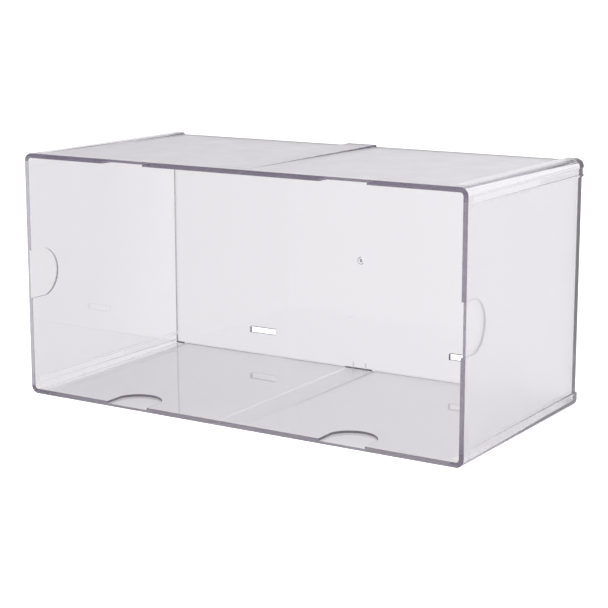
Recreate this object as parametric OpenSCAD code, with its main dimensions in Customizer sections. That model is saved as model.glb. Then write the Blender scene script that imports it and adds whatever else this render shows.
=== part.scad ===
// Clear stacking storage box, two square modules wide, open at the front.
// A thin-walled sleeve draws in slightly towards the back (moulding draft).
// Wedge-shaped rails along its outside fill that draft up again, so that
// neighbouring boxes meet on square faces, and a flat panel closes the back.
// Frame: +X right as seen from the open front, +Y towards the back, +Z up.
// The origin is on the resting plane, under the middle of the box.

/* [Box] */
// Outside width, side to side
box_w = 304.8; // [280:0.2:330]
// Outside height
box_h = 152.4; // [140:0.2:170]
// Outside depth, front rim to back face
box_d = 152.4; // [130:0.2:180]

/* [Walls] */
// Thickness of the floor, ceiling and side walls
wall_t = 3; // [2.6:0.1:3.4]
// Thickness of the back panel
back_t = 3; // [2.4:0.1:4]
// How far every outer face draws in between the front rim and the back
draft = 1.25; // [1.1:0.05:1.6]
// Radius of the outer corners
outer_r = 5; // [4:0.5:7]
// Radius of the inner corners
inner_r = 2; // [1:0.5:3]

/* [Clip recesses] */
// Width of a recess along the rim
recess_w = 30.3; // [24:0.1:31]
// Radius of the round end of a recess
recess_r = 15.8; // [15.6:0.1:17]
// How far a recess reaches back from the rim
recess_reach = 25; // [20:0.5:30]
// Depth of a recess below the inner face
recess_depth = 1.35; // [0.8:0.05:1.6]

/* [Back panel] */
// Width of a hanging slot
slot_w = 20.6; // [16:0.2:26]
// Height of a hanging slot
slot_h = 4.1; // [3:0.1:6]
// Height of the slots' centre line above the resting plane
slot_z = 20.6; // [14:0.2:30]
// Radius of the shallow dish around the gate mark
gate_dish_r = 2.5; // [2:0.1:4]
// Radius of the gate mark in the middle of the dish
gate_pip_r = 0.8; // [0.5:0.1:1.2]
// Depth of the dish
gate_dish_depth = 0.4; // [0.2:0.05:0.6]
// Distance between the two short ribs above the floor
rib_gap = 9.3; // [7:0.1:14]
// Height of a short rib
rib_h = 4; // [3:0.1:6]
// Width of a short rib
rib_w = 0.6; // [0.4:0.1:1]
// How far a short rib stands out of the back panel
rib_proud = 0.4; // [0.3:0.1:0.8]

/* [Rails] */
// Width of a corner rail on the top and bottom faces
rail_top_leg = 10.8; // [9:0.1:14]
// Height of a grooved corner rail on the side face
rail_grooved_leg = 10.8; // [10.6:0.1:14]
// Height of a plain corner rail on the side face
rail_plain_leg = 9.3; // [8:0.1:12]
// Distance from the corner to the groove
groove_start = 5.7; // [5:0.1:6]
// Width of the groove
groove_w = 3.6; // [3:0.1:4]
// Depth of the groove at the back
groove_depth = 0.75; // [0.5:0.05:0.9]
// Width of a centre rail
centre_rail_w = 20.6; // [16:0.2:26]
// Distance from the front rim at which the rails begin
rail_start = 6; // [5:0.5:10]

/* [Hidden] */

// Clear polystyrene, faintly lilac, a shade deeper on the rails
clear_plastic = [0.87, 0.86, 0.90, 0.35];
rail_plastic = [0.80, 0.79, 0.84, 0.45];

// One square module is half the width, so its middle is a quarter across
module_mid = box_w / 4;
mid_h = box_h / 2;
front_y = -box_d / 2;
back_y = box_d / 2;
draft_angle = atan(draft / box_d);

// Small overrun that lets a cutter pass cleanly through a face
cut = 1;
// Rail blanks reach this far into the sleeve before the sleeve is cut away
rail_blank_t = draft + cut;
// Flat steps around each corner of a drafted block
corner_steps = 8;
// Facets on the other round shapes
corner_fn = 64;
recess_fn = 96;

// Rounded rectangle, centred on the origin
module rounded_rect(w, h, r) {
    square([w - 2 * r, h], center = true);
    square([w, h - 2 * r], center = true);
    for (sx = [-1, 1], sy = [-1, 1]) {
        translate([sx * (w / 2 - r), sy * (h / 2 - r)])
            circle(r = r, $fn = corner_fn);
    }
}

// Stands a flat outline up in the front plane and runs it towards the back
module from_front() {
    translate([0, front_y, mid_h])
        mirror([0, 1, 0])
            rotate([90, 0, 0])
                children();
}

// How far the outer faces have drawn in at a depth
function inset(y) = draft * (y - front_y) / box_d;

// Points of a rounded rectangle standing at a depth, anticlockwise from the right
function section(w, h, r, y) = [
    for (corner = [0:3], step = [0:corner_steps])
        let (
            a = 90 * (corner + step / corner_steps),
            x = (w / 2 - r - inset(y)) * (corner == 0 || corner == 3 ? 1 : -1),
            z = (h / 2 - r - inset(y)) * (corner < 2 ? 1 : -1)
        )
        [x + r * cos(a), y, mid_h + z + r * sin(a)]
];

// Solid between two depths that has the given size at the rim and draws in evenly
module drafted_block(w, h, r, y_from, y_to) {
    n = 4 * (corner_steps + 1);
    polyhedron(
        points = concat(section(w, h, r, y_from), section(w, h, r, y_to)),
        faces = concat(
            [[for (i = [0:n - 1]) n - 1 - i]],
            [[for (i = [0:n - 1]) n + i]],
            [for (i = [0:n - 1]) [i, (i + 1) % n, (i + 1) % n + n, i + n]]
        )
    );
}

module sleeve_outside() {
    drafted_block(box_w, box_h, outer_r, front_y, back_y);
}

module sleeve_inside(y_from = front_y, y_to = back_y) {
    drafted_block(box_w - 2 * wall_t, box_h - 2 * wall_t, inner_r, y_from, y_to);
}

// D-shaped outline of a clip recess: the rim is the X axis, it reaches to +Y
module recess_outline() {
    intersection() {
        translate([-recess_w / 2, -cut])
            square([recess_w, recess_reach + cut]);
        union() {
            translate([0, recess_reach - recess_r])
                circle(r = recess_r, $fn = recess_fn);
            translate([-recess_w / 2, -cut])
                square([recess_w, recess_reach - recess_r + cut]);
        }
    }
}

// Cutter for the recess in the floor, at the middle of the floor's inner face
module floor_recess_cutter() {
    translate([0, front_y, wall_t])
        rotate([draft_angle, 0, 0])
            translate([0, 0, -recess_depth])
                linear_extrude(height = recess_depth + cut)
                    recess_outline();
}

// The same cutter turned onto a side wall
module side_recess_cutter() {
    translate([box_w / 2, 0, mid_h])
        rotate([0, -90, 0])
            floor_recess_cutter();
}

// Floor, ceiling and both side walls in one piece, with six clip recesses
module wall_sleeve() {
    color(clear_plastic)
        difference() {
            sleeve_outside();
            sleeve_inside();
            for (side = [-1, 1]) {
                translate([side * module_mid, 0, 0])
                    floor_recess_cutter();
                translate([side * module_mid, 0, box_h])
                    mirror([0, 0, 1])
                        floor_recess_cutter();
            }
            side_recess_cutter();
            mirror([1, 0, 0])
                side_recess_cutter();
        }
}

// Slot through the panel, centred on one square module
module hanging_slot() {
    translate([-slot_w / 2, back_y - back_t - cut, slot_z - slot_h / 2])
        cube([slot_w, back_t + 2 * cut, slot_h]);
}

// Shallow dish with a pip in it, where the plastic was fed in
module gate_mark() {
    translate([0, back_y + cut, mid_h])
        rotate([90, 0, 0])
            difference() {
                cylinder(r = gate_dish_r, h = gate_dish_depth + cut, $fn = corner_fn);
                translate([0, 0, cut + gate_dish_depth / 4])
                    cylinder(r = gate_pip_r, h = gate_dish_depth, $fn = corner_fn);
            }
}

// Short upright rib that stands on the floor line of the back panel
module short_rib() {
    floor_z = wall_t + draft;
    translate([-rib_w / 2, back_y - back_t - rib_proud, floor_z])
        cube([rib_w, rib_proud + cut, rib_h]);
}

// Panel set flush into the back of the sleeve
module back_panel() {
    color(clear_plastic)
        union() {
            difference() {
                sleeve_inside(back_y - back_t, back_y);
                for (side = [-1, 1]) {
                    translate([side * module_mid, 0, 0])
                        hanging_slot();
                }
                gate_mark();
            }
            for (side = [-1, 1]) {
                translate([side * rib_gap / 2, 0, 0])
                    short_rib();
            }
        }
}

// Runs a rail outline from where the rails begin to the back, and cuts away
// the sleeve, so that only the wedge outside it is left
module rail_wedge() {
    difference() {
        translate([0, rail_start, 0])
            from_front()
                linear_extrude(height = box_d - rail_start)
                    children();
        sleeve_outside();
    }
}

// L-shaped outline in the top right corner, its side leg as tall as given
module corner_outline(side_leg) {
    intersection() {
        rounded_rect(box_w, box_h, outer_r);
        union() {
            translate([box_w / 2 - rail_top_leg, box_h / 2 - rail_blank_t])
                square([rail_top_leg, rail_blank_t]);
            translate([box_w / 2 - rail_blank_t, box_h / 2 - side_leg])
                square([rail_blank_t, side_leg]);
            translate([box_w / 2 - outer_r, box_h / 2 - outer_r])
                square([outer_r, outer_r]);
        }
    }
}

module grooved_outline() {
    difference() {
        corner_outline(rail_grooved_leg);
        translate([box_w / 2 - groove_depth, box_h / 2 - groove_start - groove_w])
            square([groove_depth + cut, groove_w]);
    }
}

module centre_outline() {
    translate([-centre_rail_w / 2, box_h / 2 - rail_blank_t])
        square([centre_rail_w, rail_blank_t]);
}

// The grooved pair sits on one diagonal of the box, the plain pair on the other
module corner_rail_top_right() {
    color(rail_plastic)
        rail_wedge()
            grooved_outline();
}

module corner_rail_bottom_left() {
    color(rail_plastic)
        rail_wedge()
            rotate(180)
                grooved_outline();
}

module corner_rail_top_left() {
    color(rail_plastic)
        rail_wedge()
            mirror([1, 0])
                corner_outline(rail_plain_leg);
}

module corner_rail_bottom_right() {
    color(rail_plastic)
        rail_wedge()
            mirror([0, 1])
                corner_outline(rail_plain_leg);
}

module centre_rail_top() {
    color(rail_plastic)
        rail_wedge()
            centre_outline();
}

module centre_rail_bottom() {
    color(rail_plastic)
        rail_wedge()
            mirror([0, 1])
                centre_outline();
}

wall_sleeve();
back_panel();
corner_rail_top_left();
corner_rail_top_right();
corner_rail_bottom_left();
corner_rail_bottom_right();
centre_rail_top();
centre_rail_bottom();
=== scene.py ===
"""Looks of a clear storage box, two square modules wide, open at the front.

The box is one body in eight pieces: a sleeve, a back panel and six rails that
stand on the outside of the sleeve. Each piece is a closed mesh that stands for
its CAD node, with the small edge roundings that the CAD solids don't have.
Where two pieces meet, their faces hold the bonded joint material, which lets
light pass straight on, so that the eight together bend light as one moulding.

Frame: +X right as seen from the open front, +Y towards the back, +Z up. The
shapes are worked out in millimetres and turned into metres as they are built.
"""

import math

import bmesh
import bpy
from mathutils import Matrix, Vector


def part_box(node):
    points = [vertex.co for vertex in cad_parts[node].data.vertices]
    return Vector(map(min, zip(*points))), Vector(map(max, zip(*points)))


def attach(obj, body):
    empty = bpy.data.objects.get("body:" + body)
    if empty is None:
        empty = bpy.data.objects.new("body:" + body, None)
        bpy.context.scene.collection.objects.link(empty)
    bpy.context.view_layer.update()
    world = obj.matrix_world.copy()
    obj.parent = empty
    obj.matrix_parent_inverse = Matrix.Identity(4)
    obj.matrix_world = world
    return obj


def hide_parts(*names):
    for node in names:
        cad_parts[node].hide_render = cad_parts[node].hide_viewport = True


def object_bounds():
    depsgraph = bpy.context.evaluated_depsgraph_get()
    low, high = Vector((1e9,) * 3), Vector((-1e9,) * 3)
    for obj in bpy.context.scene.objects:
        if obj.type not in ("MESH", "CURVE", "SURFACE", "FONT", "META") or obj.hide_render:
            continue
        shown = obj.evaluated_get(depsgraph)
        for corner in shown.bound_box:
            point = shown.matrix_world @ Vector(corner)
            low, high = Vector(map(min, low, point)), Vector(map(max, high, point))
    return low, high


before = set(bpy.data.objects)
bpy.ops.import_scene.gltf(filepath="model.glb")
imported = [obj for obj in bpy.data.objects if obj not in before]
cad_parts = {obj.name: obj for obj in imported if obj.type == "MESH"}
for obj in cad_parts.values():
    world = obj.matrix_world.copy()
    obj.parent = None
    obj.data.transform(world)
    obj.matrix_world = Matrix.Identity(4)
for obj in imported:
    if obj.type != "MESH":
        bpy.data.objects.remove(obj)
cad_low, cad_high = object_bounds()

MM = 0.001


# ---------------------------------------------------------------------------
# Sizes in millimetres, read from the frame
# ---------------------------------------------------------------------------


def node_box(node):
    """Lowest and highest corner of a CAD node, in millimetres."""
    low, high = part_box(node)
    return low / MM, high / MM


FRONT = cad_low.y / MM
BACK = cad_high.y / MM
HALF_W = cad_high.x / MM
HEIGHT = cad_high.z / MM
HALF_H = HEIGHT / 2
MODULE_MID = HALF_W / 2

_centre_low, _centre_high = node_box("centre_rail_top")
_grooved_low, _ = node_box("corner_rail_top_right")
_, _plain_high = node_box("corner_rail_bottom_right")
_panel_low, _panel_high = node_box("back_panel")

DRAFT = HEIGHT - _centre_low.z
RAIL_START = _centre_low.y
CENTRE_HALF = _centre_high.x
TOP_LEG = HALF_W - _grooved_low.x
GROOVED_LEG = HEIGHT - _grooved_low.z
PLAIN_LEG = _plain_high.z


def inset(y):
    """How far the sleeve's faces have drawn in at a depth."""
    return DRAFT * (y - FRONT) / (BACK - FRONT)


# Sizes that a node's box doesn't hold, the same as in the CAD source
OUTER_R = 5.0
INNER_R = 2.0
GROOVE_START = 5.7
GROOVE_W = 3.6
GROOVE_DEPTH = 0.75
RECESS_W = 30.3
RECESS_R = 15.8
RECESS_REACH = 25.0
RECESS_DEPTH = 1.35
SLOT_W = 20.6
SLOT_H = 4.1
SLOT_Z = 20.6
GATE_DISH_R = 2.5
GATE_PIP_R = 0.8
GATE_DEPTH = 0.4
RIB_GAP = 9.3
RIB_H = 4.0
RIB_W = 0.6
RIB_PROUD = 0.4

PANEL_FRONT = _panel_low.y + RIB_PROUD
WALL = HALF_W - _panel_high.x - inset(PANEL_FRONT)
GROOVE_Y = FRONT + (BACK - FRONT) * GROOVE_DEPTH / DRAFT

# Shapes that only the visual pieces have: the radius of the inner corners at
# the back, and small roundings
INNER_R_BACK = 0.6
EDGE_R = 0.3
EDGE_STEPS = 3
LIP_R = 0.2
COVE_R = 1.3
COVE_STEPS = 6
CORNER_STEPS = 12
# Extra edge loops stand this far from the edges of the rails
FADE = 0.8
SHARP_ANGLE = math.radians(40)
# Vertices closer than this are one
MERGE = 1e-4
# How far a recess's cutter runs past the rim and the inner face
CUT = 1.0
RECESS_STEPS = 32


def inner_radius(y):
    """The inner corners are a little sharper at the back than at the rim."""
    return INNER_R + (INNER_R_BACK - INNER_R) * (y - FRONT) / (BACK - FRONT)


def quarter_turn(steps):
    """Evenly spaced angles from nothing to a right angle."""
    return [math.pi / 2 * k / steps for k in range(steps + 1)]


# Places of the materials in every piece's list: clear, bonded, satin, then strong painted
# shade, painted glint, painted shade and painted glow
CLEAR, BONDED, SATIN, PAINTED_DARK, PAINTED_GLINT, PAINTED_SHADE, PAINTED_GLOW = range(7)


# ---------------------------------------------------------------------------
# Materials
# ---------------------------------------------------------------------------


class Tree:
    """A short way to add and link shader nodes."""

    def __init__(self, owner):
        owner.use_nodes = True
        self.nodes = owner.node_tree.nodes
        self.links = owner.node_tree.links
        self.nodes.clear()

    def add(self, kind, inputs=(), **settings):
        node = self.nodes.new(kind)
        for name, value in settings.items():
            setattr(node, name, value)
        for key, value in dict(inputs).items():
            if isinstance(value, bpy.types.NodeSocket):
                self.links.new(value, node.inputs[key])
            else:
                node.inputs[key].default_value = value
        return node

    def math(self, operation, a, b=0.0):
        node = self.add("ShaderNodeMath", {0: a, 1: b}, operation=operation)
        return node.outputs[0]

    def noise(self, vector, scale, detail=2.0):
        inputs = {"Vector": vector, "Scale": scale, "Detail": detail}
        return self.add("ShaderNodeTexNoise", inputs).outputs["Fac"]

    def span(self, value, low, high, to_low=0.0, to_high=1.0):
        inputs = {"Value": value, 1: low, 2: high, 3: to_low, 4: to_high}
        return self.add("ShaderNodeMapRange", inputs, clamp=True).outputs[0]

    def mix(self, factor, a, b):
        return self.add("ShaderNodeMixShader", {0: factor, 1: a, 2: b}).outputs[0]


# Polystyrene: how much each colour fades per metre of plastic
PLASTIC_IOR = 1.59
ABSORPTION = (9.4, 10.4, 8.2)
# Share of light that one face lets pass when it only casts a shadow
SHADOW_TINT = (0.955, 0.95, 0.96, 1.0)
# Strength of the painted light on an edge (a painted glint) and on a face (a painted
# glow), and its colour on each
PAINTED_LIGHT_STRENGTH = 0.95
PAINTED_GLINT_COLOR = (1.0, 0.99, 1.0, 1.0)
PAINTED_GLOW_COLOR = (0.91, 0.91, 1.0, 1.0)
# Spans of noise that count, and what they turn into: the share of an edge's painted glint,
# and how far a face's painted glow varies either way
HAZE_SPAN = (0.1, 0.5)
PAINTED_GLOW_SPAN = (0.2, 0.8)
PAINTED_GLOW_VARIES = 0.1
PAINTED_GLINT_SPAN = (0.3, 0.7)
PAINTED_GLINT_SHARE = (0.75, 0.95)

# The spans below are parts of a direction of length 1 in the camera's space.
# How far it points ahead, and the backdrop's light there
BACKDROP_SPAN = (-0.9, 0.45)
BACKDROP_LIGHT = (0.08, 0.95)
BACKDROP_TINT = (1.0, 0.99, 1.005, 1.0)
# How far it points to the right, and the factor on that light
SIDE_SPAN = (-0.2, 0.2)
SIDE_LIGHT = (0.9, 1.12)
# A strip light far to the right of the camera, soft along both edges, and the
# share of it that spills further ahead
STRIP_SIDE = (0.6, 0.8)
STRIP_NEAR = (0.31, 0.345)
STRIP_FAR = (0.39, 0.44)
STRIP_LIGHT = 1.2
STRIP_SPILL = 0.2
# Light of the floor and backdrop where the camera sees them without plastic
WHITE = 1.1
# The floor's own light as a share of the backdrop's, the painted shadow taken off it under
# the box, and half the width of that painted shadow's soft edge in metres
FLOOR_GLOW = 0.56
PAINTED_UNDER_SHADOW = 0.07
PAINTED_SHADOW_FADE = 0.01
FLOOR_COLOR = (0.6, 0.592, 0.606, 1.0)
FLOOR_HALF = 30.0
FLOOR_Z = -0.0001

# Flow waves, haze, fine grain and painted glints of the plastic, as noise scales per metre
WAVE_SCALE = 18.0
HAZE_SCALE = 60.0
GRAIN_SCALE = 900.0
PAINTED_GLINT_SCALE = 120.0
WAVE_BUMP = {"Strength": 0.05, "Distance": 0.002}
GRAIN_DISTANCE = 0.0003


def make_plastic(
    name, low_roughness, high_roughness, grain, painted_shade_tint=(1.0, 1.0, 1.0), glow=0.0
):
    """Clear plastic.

    grain is the strength of a fine moulded-in texture, tint darkens the light that leaves
    by the face as painted shade, and glow is the share of light that the face sends out
    itself as a painted glow.
    """
    material = bpy.data.materials.new(name)
    t = Tree(material)
    place = t.add("ShaderNodeTexCoord").outputs["Object"]
    path = t.add("ShaderNodeLightPath").outputs
    back = t.add("ShaderNodeNewGeometry").outputs["Backfacing"]

    # Light fades with its way through the plastic, and only there
    length = t.math("MULTIPLY", path["Ray Length"], back)
    fade = t.add("ShaderNodeCombineXYZ")
    for channel, strength in enumerate(ABSORPTION):
        power = t.math("MULTIPLY", length, -strength)
        share = t.math("MULTIPLY", t.math("EXPONENT", power), painted_shade_tint[channel])
        t.links.new(share, fade.inputs[channel])

    # Faint flow waves and a little handling haze
    waves = t.noise(place, WAVE_SCALE, 1.0)
    fine = t.noise(place, GRAIN_SCALE, 2.0)
    bump = t.add("ShaderNodeBump", {**WAVE_BUMP, "Height": waves}).outputs[0]
    if grain:
        inputs = {"Strength": grain, "Distance": GRAIN_DISTANCE}
        inputs.update({"Height": fine, "Normal": bump})
        bump = t.add("ShaderNodeBump", inputs).outputs[0]
    haze = t.math("MULTIPLY", t.noise(place, HAZE_SCALE, 3.0), fine)
    roughness = t.span(haze, *HAZE_SPAN, low_roughness, high_roughness)
    glass = t.add(
        "ShaderNodeBsdfGlass",
        {
            "Color": fade.outputs[0],
            "IOR": PLASTIC_IOR,
            "Roughness": roughness,
            "Normal": bump,
        },
    ).outputs[0]

    # Painted glow: the face sends out light of its own, though it is no lamp
    if glow:
        inputs = {"Color": PAINTED_GLOW_COLOR, "Strength": PAINTED_LIGHT_STRENGTH}
        painted_light = t.add("ShaderNodeEmission", inputs).outputs[0]
        share = t.span(
            fine, *PAINTED_GLOW_SPAN, glow * (1 - PAINTED_GLOW_VARIES), glow * (1 + PAINTED_GLOW_VARIES)
        )
        glass = t.mix(share, glass, painted_light)

    through = t.add("ShaderNodeBsdfTransparent", {"Color": SHADOW_TINT}).outputs[0]
    soft = t.math("MAXIMUM", path["Is Shadow Ray"], path["Is Diffuse Ray"])
    shader = t.mix(soft, glass, through)
    t.add("ShaderNodeOutputMaterial", {"Surface": shader})
    return material


def make_painted_glint():
    """Painted glint: an edge that sends out light as a painted highlight, a bright line
    seen through the floor.
    """
    material = bpy.data.materials.new("painted_glint_edge")
    t = Tree(material)
    through = t.add("ShaderNodeBsdfTransparent", {"Color": SHADOW_TINT}).outputs[0]
    inputs = {"Color": PAINTED_GLINT_COLOR, "Strength": PAINTED_LIGHT_STRENGTH}
    bright = t.add("ShaderNodeEmission", inputs).outputs[0]
    place = t.add("ShaderNodeTexCoord").outputs["Object"]
    share = t.span(t.noise(place, PAINTED_GLINT_SCALE), *PAINTED_GLINT_SPAN, *PAINTED_GLINT_SHARE)
    t.add("ShaderNodeOutputMaterial", {"Surface": t.mix(share, through, bright)})
    return material


def make_bonded_joint():
    """Where two pieces touch: light passes straight on."""
    material = bpy.data.materials.new("bonded_joint")
    t = Tree(material)
    through = t.add("ShaderNodeBsdfTransparent").outputs[0]
    t.add("ShaderNodeOutputMaterial", {"Surface": through})
    return material


POLISHED = (0.004, 0.03)

clear_plastic = make_plastic("clear_plastic", *POLISHED, 0.0)
# Below about 0.27 the denoiser leaves blotches on the satin faces
satin_plastic = make_plastic("satin_plastic", 0.28, 0.36, 0.1)
# Plastic darkened strongly as painted shade, for the cove's bottom steps and a rail edge
painted_dark_plastic = make_plastic("painted_dark_plastic", 0.1, 0.2, 0.0, (0.22, 0.2, 0.22))
# Plastic darkened as painted shade, for the steps of the floor recesses and the gate's
# middle cone
painted_shade_plastic = make_plastic("painted_shade_plastic", *POLISHED, 0.0, (0.62, 0.6, 0.62))
# Plastic with a painted glow, for the left rim
painted_glow_plastic = make_plastic("painted_glow_plastic", *POLISHED, 0.0, glow=0.31)
painted_glint_edge = make_painted_glint()
bonded_joint = make_bonded_joint()

# In the order of the places above: clear, bonded, satin, strong painted shade, painted
# glint, painted shade and painted glow
MATERIALS = (
    clear_plastic,
    bonded_joint,
    satin_plastic,
    painted_dark_plastic,
    painted_glint_edge,
    painted_shade_plastic,
    painted_glow_plastic,
)


# ---------------------------------------------------------------------------
# Mesh helpers
# ---------------------------------------------------------------------------


def outline(half_w, half_h, radius, breaks=None):
    """Rounded rectangle as (x, z) from the middle, anticlockwise from the right.

    breaks maps a side to where extra points stand on it, in the order of the walk.
    """
    breaks = breaks or {}
    points = [(half_w, z) for z in breaks.get("right", ())]
    # The side that follows each corner
    after = (
        [(x, half_h) for x in breaks.get("top", ())],
        [(-half_w, z) for z in breaks.get("left", ())],
        [(x, -half_h) for x in breaks.get("bottom", ())],
        [],
    )
    for corner, side_points in enumerate(after):
        sx = 1 if corner in (0, 3) else -1
        sz = 1 if corner in (0, 1) else -1
        cx, cz = sx * (half_w - radius), sz * (half_h - radius)
        for step in range(CORNER_STEPS + 1):
            a = math.pi / 2 * (corner + step / CORNER_STEPS)
            points.append((cx + radius * math.cos(a), cz + radius * math.sin(a)))
        points += side_points
    return points


def new_object(name, mesh_tools):
    """Object from a bmesh in millimetres, moved to metres in the row frame."""
    mesh = bpy.data.meshes.new(name)
    bmesh.ops.remove_doubles(mesh_tools, verts=mesh_tools.verts, dist=MERGE)
    bmesh.ops.recalc_face_normals(mesh_tools, faces=mesh_tools.faces)
    bmesh.ops.transform(
        mesh_tools, matrix=Matrix.Diagonal((MM, MM, MM, 1)), verts=mesh_tools.verts
    )
    mesh_tools.to_mesh(mesh)
    mesh_tools.free()
    for material in MATERIALS:
        mesh.materials.append(material)
    obj = bpy.data.objects.new(name, mesh)
    bpy.context.scene.collection.objects.link(obj)
    return obj


def ring(bm, points, y):
    """Vertices of an outline at a depth. y is one depth or one for each point."""
    depths = y if isinstance(y, list) else [y] * len(points)
    return [bm.verts.new((x, d, z + HALF_H)) for (x, z), d in zip(points, depths)]


def band(bm, first, second, material=CLEAR):
    """Quads between two rings.

    material is one index, or a function of the place in the ring.
    """
    count = len(first)
    for i in range(count):
        j = (i + 1) % count
        face = bm.faces.new((first[i], first[j], second[j], second[i]))
        face.material_index = material(i) if callable(material) else material


def closed_solid(name, bm, loops, material=CLEAR):
    """Closed solid through loops of vertices, with flat ends."""
    for first, second in zip(loops, loops[1:]):
        band(bm, first, second, material)
    bm.faces.new(loops[0])
    bm.faces.new(loops[-1])
    return new_object(name, bm)


def lofted(name, rings):
    """Closed solid from rings of (points, y), with flat ends."""
    bm = bmesh.new()
    return closed_solid(name, bm, [ring(bm, points, y) for points, y in rings])


def boolean(target, tool, operation):
    """Cuts or joins a tool into the target for good, then deletes the tool."""
    step = target.modifiers.new("step", "BOOLEAN")
    step.operation = operation
    step.object = tool
    step.solver = "EXACT"
    graph = bpy.context.evaluated_depsgraph_get()
    mesh = bpy.data.meshes.new_from_object(target.evaluated_get(graph))
    target.modifiers.clear()
    old = target.data
    target.data = mesh
    bpy.data.meshes.remove(old)
    bpy.data.objects.remove(tool)


def finish_piece(obj, node):
    """Smooth shading that keeps flat faces flat, and the piece's CAD node."""
    mesh = obj.data
    mesh.shade_smooth()
    mesh.set_sharp_from_angle(angle=SHARP_ANGLE)
    weighted = obj.modifiers.new("flat_faces", "WEIGHTED_NORMAL")
    weighted.keep_sharp = True
    # As strongly for the larger face as the modifier can
    weighted.weight = 100
    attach(obj, "root")
    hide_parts(node)


# ---------------------------------------------------------------------------
# Sleeve: floor, ceiling and side walls
# ---------------------------------------------------------------------------

# Where rails and grooves stand, as (side, from, to) from the middle of each side
CORNER_SPAN = HALF_W - TOP_LEG
COVERED = [
    ("top", -CENTRE_HALF, CENTRE_HALF),
    ("bottom", -CENTRE_HALF, CENTRE_HALF),
    ("top", CORNER_SPAN, HALF_W),
    ("top", -HALF_W, -CORNER_SPAN),
    ("bottom", CORNER_SPAN, HALF_W),
    ("bottom", -HALF_W, -CORNER_SPAN),
    ("right", HALF_H - GROOVED_LEG, HALF_H),
    ("right", -HALF_H, -HALF_H + PLAIN_LEG),
    ("left", -HALF_H, -HALF_H + GROOVED_LEG),
    ("left", HALF_H - PLAIN_LEG, HALF_H),
]
GROOVES = [
    ("right", HALF_H - GROOVE_START - GROOVE_W, HALF_H - GROOVE_START),
    ("left", -HALF_H + GROOVE_START, -HALF_H + GROOVE_START + GROOVE_W),
]


def side_breaks():
    """Extra points on each side: rail edges, points beside them and groove edges."""
    found = {"right": set(), "top": set(), "left": set(), "bottom": set()}
    for side, low, high in COVERED:
        limit = (HALF_W if side in ("top", "bottom") else HALF_H) - OUTER_R
        for edge, beyond in ((low, low - FADE), (high, high + FADE)):
            if abs(edge) < limit:
                found[side] |= {edge, beyond}
    for side, low, high in GROOVES:
        found[side] |= {low, high}
    # The walk along the outline runs against the axis on these two sides
    return {k: sorted(v, reverse=k in ("top", "left")) for k, v in found.items()}


BREAKS = side_breaks()


def side_of(x, z):
    """The side that a point of the envelope lies on, or "corner"."""
    if abs(x) > HALF_W - OUTER_R and abs(z) > HALF_H - OUTER_R:
        return "corner"
    if abs(x) > HALF_W - OUTER_R - DRAFT:
        return "right" if x > 0 else "left"
    return "top" if z > 0 else "bottom"


def within(spans, x, z):
    """Whether a point of the envelope lies in a span, ends and corners included."""
    side = side_of(x, z)
    if side == "corner":
        return True
    along = z if side in ("right", "left") else x
    slack = 1e-3
    return any(
        s == side and low - slack <= along <= high + slack for s, low, high in spans
    )


def outward_at(x, z):
    """Outward direction at a point of the envelope's outline."""
    ox = max(abs(x) - (HALF_W - OUTER_R), 0) * (1 if x > 0 else -1)
    oz = max(abs(z) - (HALF_H - OUTER_R), 0) * (1 if z > 0 else -1)
    return Vector((ox, oz)).normalized()


def sleeve_material(kind, x, z):
    """Material of a sleeve face from the kind of its band and its middle."""
    side = side_of(x, z)
    if kind == "panel seat":
        return BONDED
    if kind == "rim":
        # The left rim is painted lighter than the others with a painted glow
        return PAINTED_GLOW if side == "left" else CLEAR
    if kind == "rim strip":
        return CLEAR if side == "corner" else SATIN
    if kind in ("front part", "rear part", "rear edge"):
        groove = side != "corner" and within(GROOVES, x, z)
        if groove and kind == "front part":
            return CLEAR
        if within(COVERED, x, z):
            return BONDED
        return CLEAR if kind == "rear edge" else SATIN
    return CLEAR


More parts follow.
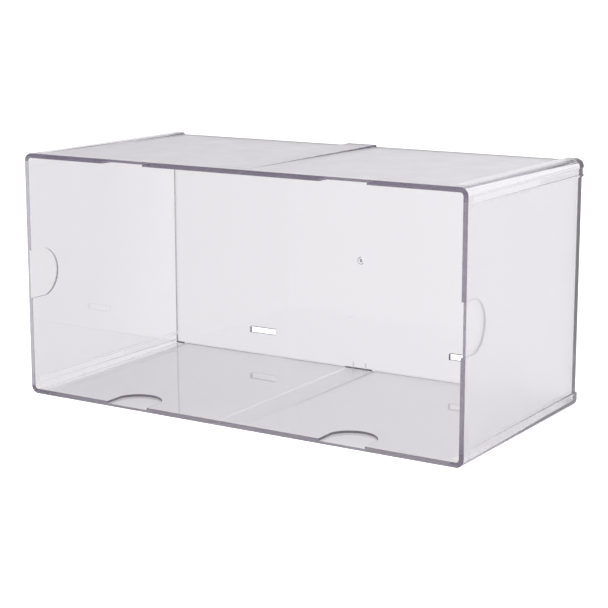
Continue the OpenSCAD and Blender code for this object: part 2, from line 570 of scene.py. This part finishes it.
def make_sleeve():
    """Sleeve with rounded rims, its outer and inner face as one loop of bands."""
    bm = bmesh.new()
    base = outline(HALF_W, HALF_H, OUTER_R, BREAKS)
    count = len(base)
    covered = [within(COVERED, x, z) for x, z in base]
    outward = [outward_at(x, z) for x, z in base]
    middles = [
        ((x + next_x) / 2, (z + next_z) / 2)
        for (x, z), (next_x, next_z) in zip(base, base[1:] + base[:1])
    ]

    def outer_points(y, shrink):
        """Outer outline at a depth, drawn in by one amount for each point."""
        drawn = inset(y)
        points = outline(HALF_W - drawn, HALF_H - drawn, OUTER_R - drawn, BREAKS)
        return [
            (x - out.x * amount, z - out.y * amount)
            for (x, z), out, amount in zip(points, outward, shrink)
        ]

    def inner_points(y, grow=0.0):
        drawn = WALL + inset(y) - grow
        radius = inner_radius(y) + grow
        return outline(HALF_W - drawn, HALF_H - drawn, radius, BREAKS)

    rings, kinds = [], []

    def put(points, y, kind):
        """kind names the band that ends at this ring."""
        rings.append(ring(bm, points, y))
        kinds.append(kind)

    # Outer face from the rim to the back
    for n, a in enumerate(quarter_turn(EDGE_STEPS)):
        y = FRONT + EDGE_R * (1 - math.cos(a))
        shrink = [EDGE_R * (1 - math.sin(a))] * count
        put(outer_points(y, shrink), y, "edge" if n else "rim")
    put(outer_points(RAIL_START, [0] * count), RAIL_START, "rim strip")
    put(outer_points(GROOVE_Y, [0] * count), GROOVE_Y, "front part")
    rear_r = [0.0 if c else EDGE_R for c in covered]
    for n, a in enumerate(quarter_turn(EDGE_STEPS)):
        drop = [r * (1 - math.cos(a)) for r in rear_r]
        depth = [BACK - r * (1 - math.sin(a)) for r in rear_r]
        put(outer_points(BACK, drop), depth, "rear edge" if n else "rear part")

    # Inner face from the back to the rim
    put(inner_points(BACK), BACK, "back end")
    seat = PANEL_FRONT - COVE_R
    put(inner_points(seat), seat, "panel seat")
    for a in quarter_turn(EDGE_STEPS):
        y = FRONT + EDGE_R * (1 - math.sin(a))
        put(inner_points(y, EDGE_R * (1 - math.cos(a))), y, "inner face")

    for k in range(len(rings)):
        after = (k + 1) % len(rings)
        materials = [sleeve_material(kinds[after], x, z) for x, z in middles]
        band(bm, rings[k], rings[after], materials.__getitem__)
    return new_object("sleeve", bm)


def recess_outline(grow):
    """D-shaped outline of a clip recess as (along the rim, behind the rim)."""
    half, radius, reach = RECESS_W / 2 + grow, RECESS_R + grow, RECESS_REACH + grow
    centre = reach - radius
    start = math.acos(half / radius)
    points = [(half, -CUT)]
    for step in range(RECESS_STEPS + 1):
        a = start + (math.pi - 2 * start) * step / RECESS_STEPS
        points.append((radius * math.cos(a), centre + radius * math.sin(a)))
    points.append((-half, -CUT))
    return points


def recess_cutter(place, wall):
    """Cutter for a clip recess, with a round lip and a soft foot.

    wall is the material of the step that it leaves all round the recess.
    """
    # Height over the recess's floor, and how far the outline grows there
    levels = [
        (0.0, -LIP_R),
        (LIP_R * 0.3, -LIP_R * 0.3),
        (LIP_R, 0.0),
        (RECESS_DEPTH - LIP_R, 0.0),
        (RECESS_DEPTH - LIP_R * 0.35, LIP_R * 0.25),
        (RECESS_DEPTH, LIP_R * 0.9),
        (RECESS_DEPTH + CUT, LIP_R + 3 * CUT),
    ]
    bm = bmesh.new()
    loops = [
        [bm.verts.new(place(s, d, level)) for s, d in recess_outline(grow)]
        for level, grow in levels
    ]
    return closed_solid("cutter", bm, loops, wall)


def recess_height(y, level):
    """Distance from the envelope to a level over the recess's floor."""
    return WALL + inset(y) - RECESS_DEPTH + level


def floor_place(middle):
    """Puts a recess into the floor, with its middle at an x."""

    def place(s, d, level):
        return (middle + s, FRONT + d, recess_height(FRONT + d, level))

    return place


def ceiling_place(middle):
    """Puts a recess into the ceiling, with its middle at an x."""

    def place(s, d, level):
        return (middle + s, FRONT + d, HEIGHT - recess_height(FRONT + d, level))

    return place


def side_place(side):
    """Puts a recess into the left (-1) or right (+1) wall."""

    def place(s, d, level):
        x = HALF_W - recess_height(FRONT + d, level)
        return (side * x, FRONT + d, HALF_H + s)

    return place


def cut_recesses(sleeve):
    """Six clip recesses: two in the floor, two in the ceiling, one in each side."""
    for middle in (-MODULE_MID, MODULE_MID):
        # The steps round the floor recesses are darkened with painted shade
        boolean(sleeve, recess_cutter(floor_place(middle), PAINTED_SHADE), "DIFFERENCE")
        boolean(sleeve, recess_cutter(ceiling_place(middle), CLEAR), "DIFFERENCE")
    for side in (-1, 1):
        boolean(sleeve, recess_cutter(side_place(side), CLEAR), "DIFFERENCE")


# ---------------------------------------------------------------------------
# Back panel
# ---------------------------------------------------------------------------

# The cove's first steps are painted dark between these places on its bottom side: painted
# shade
FOOT_STEPS = 4
FOOT_BREAKS = (-CORNER_SPAN, -CENTRE_HALF, CENTRE_HALF, CORNER_SPAN)
# A face of the cove that climbs further than this is part of a corner
FOOT_RISE = 0.6
LEAST_R = 0.05
SLOT_R = 0.25
GATE_STEPS = 48
# The middle cone of the gate dish is darkened with painted shade: its first bands from the
# middle
GATE_PAINTED_SHADE = 2
# How far a rib starts inside the panel and over the floor, and its taper
RIB_ROOT = 0.3
RIB_FOOT = 0.35
RIB_TAPER = 0.15
# Share of a rib's height at which its taper begins
RIB_SHOULDER = 0.7
# A sink line's cutter: half its width, its depth, and how far it runs past
SINK_HALF = 0.8
SINK_DEPTH = 0.3
SINK_PAST = 0.5


def panel_outline(y, drawn=0.0):
    """The sleeve's inner outline at a depth, drawn in by the cove."""
    edge = WALL + inset(y) + drawn
    radius = max(inner_radius(y) - drawn, LEAST_R)
    return outline(HALF_W - edge, HALF_H - edge, radius, {"bottom": FOOT_BREAKS})


def make_panel():
    """Panel with a small cove all round, where it meets the sleeve's inner face.

    The cove is painted dark where a bottom rail ends behind it: painted shade.
    """
    bm = bmesh.new()
    outer = panel_outline(BACK)

    # Painted shade on the cove's first steps over a bottom rail
    def painted_foot_shade(i):
        (x, z), (next_x, next_z) = outer[i], outer[(i + 1) % len(outer)]
        middle = abs(x + next_x) / 2
        low = z < 0 and next_z < 0 and abs(z - next_z) < FOOT_RISE
        over_rail = middle < CENTRE_HALF or middle > CORNER_SPAN
        return PAINTED_DARK if low and over_rail else CLEAR

    seat = PANEL_FRONT - COVE_R
    back_ring = ring(bm, outer, BACK)
    last = ring(bm, panel_outline(seat), seat)
    band(bm, back_ring, last, BONDED)
    for step, a in enumerate(quarter_turn(COVE_STEPS)[1:]):
        y = seat + COVE_R * math.sin(a)
        here = ring(bm, panel_outline(y, COVE_R * (1 - math.cos(a))), y)
        band(bm, last, here, painted_foot_shade if step < FOOT_STEPS else CLEAR)
        last = here
    bm.faces.new(last)
    bm.faces.new(back_ring)
    return new_object("panel", bm)


def cut_slots(panel):
    """Hanging slots with small lips, cut a little past both faces."""
    past = 0.6
    # Depth, and how far the outline grows there
    depths = [
        (PANEL_FRONT - past, LIP_R + past),
        (PANEL_FRONT, LIP_R),
        (PANEL_FRONT + LIP_R, 0.0),
        (BACK - LIP_R, 0.0),
        (BACK, LIP_R),
        (BACK + past, LIP_R + past),
    ]
    for middle in (-MODULE_MID, MODULE_MID):
        rings = []
        for y, grow in depths:
            slot = outline(SLOT_W / 2 + grow, SLOT_H / 2 + grow, SLOT_R + grow)
            points = [(middle + x, SLOT_Z - HALF_H + z) for x, z in slot]
            rings.append((points, y))
        boolean(panel, lofted("cutter", rings), "DIFFERENCE")


def cut_gate(panel):
    """Shallow dish where the plastic was fed in: a cone, a fine ring and a flat."""
    cone = GATE_PIP_R / 2
    # Radius and depth, from the middle outwards and back over the panel
    profile = [
        (0.0, 0.0),
        (cone, GATE_DEPTH),
        (cone * 2, 0.0),
        (cone * 3, GATE_DEPTH),
        (GATE_DISH_R - GATE_DEPTH, GATE_DEPTH),
        (GATE_DISH_R, 0.0),
        (GATE_DISH_R + GATE_DEPTH, -GATE_DEPTH),
        (0.0, -GATE_DEPTH),
    ]
    angles = [math.tau * k / GATE_STEPS for k in range(GATE_STEPS)]
    bm = bmesh.new()
    loops = []
    for radius, depth in profile:
        if radius == 0.0:
            loops.append([bm.verts.new((0, BACK - depth, HALF_H))] * GATE_STEPS)
            continue
        circle = [(radius * math.cos(a), radius * math.sin(a)) for a in angles]
        loops.append([bm.verts.new((x, BACK - depth, HALF_H + z)) for x, z in circle])
    for level, (first, second) in enumerate(zip(loops, loops[1:])):
        for k in range(GATE_STEPS):
            j = (k + 1) % GATE_STEPS
            # A point that stands for a whole loop comes up twice
            corners = dict.fromkeys((first[k], first[j], second[j], second[k]))
            face = bm.faces.new(list(corners))
            face.material_index = PAINTED_SHADE if level < GATE_PAINTED_SHADE else CLEAR
    boolean(panel, new_object("cutter", bm), "DIFFERENCE")


def add_ribs(panel):
    """Two short upright ribs that stand on the floor line of the panel."""
    floor = WALL + inset(PANEL_FRONT) - HALF_H
    # Depth, and how much narrower the rib is there
    depths = (
        (PANEL_FRONT + RIB_ROOT, 0.0),
        (PANEL_FRONT - RIB_PROUD * RIB_SHOULDER, 0.0),
        (PANEL_FRONT - RIB_PROUD, RIB_TAPER),
    )
    for side in (-1, 1):
        x = side * RIB_GAP / 2
        rings = []
        for y, narrow in depths:
            left, right = x - RIB_W / 2 + narrow, x + RIB_W / 2 - narrow
            low, top = floor + RIB_FOOT, floor + RIB_H - narrow
            points = [(left, low), (right, low), (right, top), (left, top)]
            rings.append((points, y))
        boolean(panel, lofted("cutter", rings), "UNION")


def cut_sink_lines(panel):
    """Fine sink lines on the back of the panel, behind the two ribs."""
    floor = WALL + inset(BACK)
    for side in (-1, 1):
        x = side * RIB_GAP / 2
        wedge = [
            (x - SINK_HALF, BACK + SINK_PAST),
            (x, BACK - SINK_DEPTH),
            (x + SINK_HALF, BACK + SINK_PAST),
        ]
        bm = bmesh.new()
        ends = [
            [bm.verts.new((px, py, z)) for px, py in wedge]
            for z in (floor + SINK_PAST, floor + RIB_H)
        ]
        boolean(panel, closed_solid("cutter", bm, ends), "DIFFERENCE")


# ---------------------------------------------------------------------------
# Rails
# ---------------------------------------------------------------------------

# How high a line of a rail's outline stands: on top, on the sleeve, in the groove
TOP, SEAT, GROOVE = "top", "seat", "groove"
# Width of the polished strip beside the edge with a painted glint
PAINTED_GLINT_STRIP = 1.2
# A rail's edge rounding takes up at most this share of its height
ROUND_SHARE = 0.4
UP, RIGHT, DOWN = (0, 1), (1, 0), (0, -1)


class Column:
    """One line of a rail's outline, run from front to back.

    base is its place on the envelope, out the outward direction and along the direction of
    the outline there. level is TOP, SEAT or GROOVE, and shift and drop are its place on a
    small rounding, as shares of its radius. finish is the material from here to the next
    column, where it isn't the usual one: polished plastic, or the painted glint or painted
    dark line of an edge.
    """

    def __init__(self, base, out, along, level, shift=0.0, drop=0.0, finish_or_painted_light=None):
        self.base, self.out, self.along = Vector(base), Vector(out), Vector(along)
        self.level, self.shift, self.drop = level, shift, drop
        self.finish_or_painted_light = finish_or_painted_light

    def at(self, y, rear_drop):
        """Its point at a depth. rear_drop lowers the top at the rounded rear edge."""
        rise = inset(y)
        radius = min(EDGE_R, ROUND_SHARE * rise)
        below = rise
        if self.level == TOP:
            below = min(self.drop * radius + rear_drop, rise)
        elif self.level == GROOVE:
            below = min(GROOVE_DEPTH, rise)
        p = self.base - self.out * below + self.along * self.shift * radius
        return (p.x, y, p.y)


def opening_edge(base, out, along):
    """Columns of the rounded edge at which a stretch of rail begins."""
    return [
        Column(base, out, along, TOP, 1 - math.cos(a), 1 - math.sin(a))
        for a in quarter_turn(EDGE_STEPS)
    ]


def closing_edge(base, out, along):
    """Columns of the rounded edge at which a stretch of rail ends."""
    return [
        Column(base, out, along, TOP, math.cos(a) - 1, 1 - math.sin(a))
        for a in reversed(quarter_turn(EDGE_STEPS))
    ]


def stations():
    """Depths of a rail's outline, each with the drop of its top at the rear edge."""
    rear_edge = [
        (BACK - EDGE_R * (1 - math.sin(a)), EDGE_R * (1 - math.cos(a)))
        for a in quarter_turn(EDGE_STEPS)
    ]
    return [(RAIL_START, 0.0), (GROOVE_Y, 0.0), *rear_edge]


def outer_material(column, following):
    """Material between two columns of a rail's outer side: satin where it is flat."""
    if column.finish_or_painted_light is not None:
        return column.finish_or_painted_light
    flat = column.drop == following.drop == 0.0 and column.out == following.out
    return SATIN if flat and column.level != SEAT else CLEAR


def make_rail(name, zones, turn):
    """Closed rail from zones, each a list of outer columns and a list of seat columns.

    A groove zone has material only behind the depth where the rail grows taller
    than the groove. turn moves an (x, z) point to the rail's own corner.
    """
    bm = bmesh.new()
    depths = stations()
    last = len(depths) - 1

    def run(column):
        line = []
        for y, rear_drop in depths:
            x, _, z = column.at(y, rear_drop)
            x, z = turn(x, z)
            line.append(bm.verts.new((x, y, z)))
        return line

    for outer, seat, grooved in zones:
        first = 1 if grooved else 0
        outer_lines = [run(column) for column in outer]
        seat_lines = [run(column) for column in seat]
        finishes = [outer_material(*pair) for pair in zip(outer, outer[1:])]
        for lines, materials in (
            (outer_lines, finishes),
            (seat_lines, [BONDED] * (len(seat) - 1)),
        ):
            for left, right, material in zip(lines, lines[1:], materials):
                for k in range(first, last):
                    face = bm.faces.new((left[k], right[k], right[k + 1], left[k + 1]))
                    face.material_index = material
        loop = outer_lines + seat_lines[::-1]
        for end in (last,) if grooved else (0, last):
            bm.faces.new([line[end] for line in loop])
    return new_object(name, bm)


def corner_zones(side_leg, grooved):
    """Zones of the top right corner rail: along the top, then down the side."""
    leg = (HALF_W - TOP_LEG, HEIGHT)
    cx, cz = HALF_W - OUTER_R, HEIGHT - OUTER_R

    def down_side(distance):
        """Where a column stands on the side, below the corner."""
        return (HALF_W, HEIGHT - distance), RIGHT, DOWN

    outer = [Column(leg, UP, RIGHT, SEAT)] + opening_edge(leg, UP, RIGHT)
    # The flat top beside the corner is polished
    outer[-1].finish_or_painted_light = CLEAR
    seat = [Column(leg, UP, RIGHT, SEAT)]
    for a in reversed(quarter_turn(CORNER_STEPS)):
        out = (math.cos(a), math.sin(a))
        point = (cx + OUTER_R * out[0], cz + OUTER_R * out[1])
        along = (out[1], -out[0])
        outer.append(Column(point, out, along, TOP))
        seat.append(Column(point, out, along, SEAT))
    zones = []
    if grooved:
        first, second = down_side(GROOVE_START), down_side(GROOVE_START + GROOVE_W)
        outer += closing_edge(*first)
        outer.append(Column(*first, GROOVE))
        seat.append(Column(*first, SEAT))
        zones.append((outer, seat, False))
        floor = [Column(*place, GROOVE) for place in (first, second)]
        under = [Column(*place, SEAT) for place in (first, second)]
        zones.append((floor, under, True))
        outer = [Column(*second, GROOVE)] + opening_edge(*second)
        seat = [Column(*second, SEAT)]
    end = down_side(side_leg)
    outer += closing_edge(*end)
    outer.append(Column(*end, SEAT))
    seat.append(Column(*end, SEAT))
    zones.append((outer, seat, False))
    return zones


def centre_zones(painted_light=False):
    """The one zone of the top centre rail. With painted light, one edge has a painted
    glint and the other a painted dark line.
    """
    left, right = (-CENTRE_HALF, HEIGHT), (CENTRE_HALF, HEIGHT)
    # The left edge sends out light as a painted glint: a painted highlight
    outer = [Column(left, UP, RIGHT, SEAT, finish_or_painted_light=PAINTED_GLINT if painted_light else None)]
    outer += opening_edge(left, UP, RIGHT)
    if painted_light:
        outer[-1].finish_or_painted_light = CLEAR
        outer.append(Column((PAINTED_GLINT_STRIP - CENTRE_HALF, HEIGHT), UP, RIGHT, TOP))
    outer += closing_edge(right, UP, RIGHT)
    if painted_light:
        # The right edge is a painted dark line: painted shade
        outer[-1].finish_or_painted_light = PAINTED_DARK
    outer.append(Column(right, UP, RIGHT, SEAT))
    seat = [Column(end, UP, RIGHT, SEAT) for end in (left, right)]
    return [(outer, seat, False)]


# Turns of the top right corner's or top centre rail's outline to its own place


def keep(x, z):
    return x, z


def half_turn(x, z):
    return -x, HEIGHT - z


def mirror_x(x, z):
    return -x, z


def mirror_z(x, z):
    return x, HEIGHT - z


RAILS = [
    ("corner_rail_top_right", corner_zones(GROOVED_LEG, True), keep),
    ("corner_rail_bottom_left", corner_zones(GROOVED_LEG, True), half_turn),
    ("corner_rail_top_left", corner_zones(PLAIN_LEG, False), mirror_x),
    ("corner_rail_bottom_right", corner_zones(PLAIN_LEG, False), mirror_z),
    ("centre_rail_top", centre_zones(), keep),
    # The bottom centre rail gets a painted glint on one edge and a painted dark line on
    # the other
    ("centre_rail_bottom", centre_zones(painted_light=True), mirror_z),
]


# ---------------------------------------------------------------------------
# Build
# ---------------------------------------------------------------------------

sleeve = make_sleeve()
cut_recesses(sleeve)
finish_piece(sleeve, "wall_sleeve")

panel = make_panel()
cut_slots(panel)
cut_gate(panel)
add_ribs(panel)
cut_sink_lines(panel)
finish_piece(panel, "back_panel")

for node, zones, turn in RAILS:
    rail = make_rail("rail_" + node.replace("_rail", ""), zones, turn)
    finish_piece(rail, node)


# ---------------------------------------------------------------------------
# Floor, light and camera
# ---------------------------------------------------------------------------


def backdrop_light(t, direction):
    """Light from a direction: bright ahead of the camera, dim beside and behind it."""
    turned = t.add(
        "ShaderNodeVectorTransform",
        {"Vector": direction},
        vector_type="VECTOR",
        convert_from="WORLD",
        convert_to="CAMERA",
    ).outputs[0]
    parts = t.add("ShaderNodeSeparateXYZ", {0: turned}).outputs
    light = t.span(parts["Z"], *BACKDROP_SPAN, *BACKDROP_LIGHT)
    light = t.math("MULTIPLY", light, t.span(parts["X"], *SIDE_SPAN, *SIDE_LIGHT))
    strip = t.span(parts["X"], *STRIP_SIDE, 0.0, STRIP_LIGHT)
    strip = t.math("MULTIPLY", strip, t.span(parts["Z"], *STRIP_NEAR))
    strip = t.math("MULTIPLY", strip, t.span(parts["Z"], *STRIP_FAR, 1.0, STRIP_SPILL))
    light = t.math("ADD", light, strip)
    seen = t.add("ShaderNodeLightPath").outputs["Is Camera Ray"]
    return t.math("MAXIMUM", light, t.math("MULTIPLY", seen, WHITE))


def make_floor():
    """Wide floor that glows like the backdrop, with a painted shadow that makes it a
    little less bright under the box.
    """
    half = FLOOR_HALF
    corners = [(-half, -half), (half, -half), (half, half), (-half, half)]
    mesh = bpy.data.meshes.new("floor")
    mesh.from_pydata([(x, y, FLOOR_Z) for x, y in corners], [], [(0, 1, 2, 3)])
    floor = bpy.data.objects.new("floor", mesh)
    bpy.context.scene.collection.objects.link(floor)

    material = bpy.data.materials.new("floor")
    t = Tree(material)
    geometry = t.add("ShaderNodeNewGeometry").outputs
    away = t.add("ShaderNodeVectorMath", {0: geometry["Incoming"]}, operation="SCALE")
    away.inputs["Scale"].default_value = -1.0
    light = backdrop_light(t, away.outputs[0])
    seen = t.add("ShaderNodeLightPath").outputs["Is Camera Ray"]
    diffuse = t.add("ShaderNodeBsdfDiffuse", {"Color": FLOOR_COLOR}).outputs[0]
    place = t.add("ShaderNodeSeparateXYZ", {0: geometry["Position"]}).outputs
    # Painted shadow: the floor's glow is cut a little under the box
    under = PAINTED_UNDER_SHADOW
    for axis, edge in (("X", cad_high.x), ("Y", cad_high.y)):
        far = t.math("ABSOLUTE", place[axis])
        inside = t.span(far, edge - PAINTED_SHADOW_FADE, edge + PAINTED_SHADOW_FADE, 1.0, 0.0)
        under = t.math("MULTIPLY", inside, under)
    strength = t.math("MULTIPLY", light, t.math("SUBTRACT", FLOOR_GLOW, under))
    strength = t.math("MAXIMUM", strength, t.math("MULTIPLY", seen, WHITE))
    inputs = {"Color": BACKDROP_TINT, "Strength": strength}
    glow = t.add("ShaderNodeEmission", inputs).outputs[0]
    both = t.add("ShaderNodeAddShader", {0: diffuse, 1: glow}).outputs[0]
    t.add("ShaderNodeOutputMaterial", {"Surface": both})
    mesh.materials.append(material)


def make_world():
    """Bright ahead of the camera and dim behind it, as round a lit backdrop."""
    world = bpy.data.worlds.new("studio")
    bpy.context.scene.world = world
    t = Tree(world)
    direction = t.add("ShaderNodeTexCoord").outputs["Generated"]
    inputs = {"Color": BACKDROP_TINT, "Strength": backdrop_light(t, direction)}
    background = t.add("ShaderNodeBackground", inputs).outputs[0]
    t.add("ShaderNodeOutputWorld", {"Surface": background})


# The view, fitted to the box's edges in the photo
CAMERA_PLACE = (0.5399, -0.8519, 0.2693)
CAMERA_YAW = math.radians(33.04)
CAMERA_PITCH = math.radians(11.04)
CAMERA_ROLL = math.radians(-0.18)
CAMERA_LENS = 99.0
CAMERA_SENSOR = 36.0
CAMERA_SHIFT = (0.0395, -0.0313)
CAMERA_NEAR = 0.01


def make_camera():
    """Camera with the photo's view."""
    data = bpy.data.cameras.new("camera")
    data.lens = CAMERA_LENS
    data.sensor_width = CAMERA_SENSOR
    data.shift_x, data.shift_y = CAMERA_SHIFT
    data.clip_start = CAMERA_NEAR
    camera = bpy.data.objects.new("camera", data)
    camera.matrix_world = (
        Matrix.Translation(CAMERA_PLACE)
        @ Matrix.Rotation(CAMERA_YAW, 4, "Z")
        @ Matrix.Rotation(math.pi / 2 - CAMERA_PITCH, 4, "X")
        @ Matrix.Rotation(CAMERA_ROLL, 4, "Z")
    )
    bpy.context.scene.collection.objects.link(camera)
    bpy.context.scene.camera = camera


def set_paths():
    """Enough bounces for light that crosses many walls and rails of the box."""
    scene = bpy.context.scene
    cycles = scene.cycles
    cycles.max_bounces = 48
    cycles.transmission_bounces = 48
    cycles.glossy_bounces = 24
    cycles.diffuse_bounces = 3
    cycles.transparent_max_bounces = 64
    cycles.use_denoising = True
    scene.view_settings.view_transform = "Standard"


make_floor()
make_world()
make_camera()
set_paths()
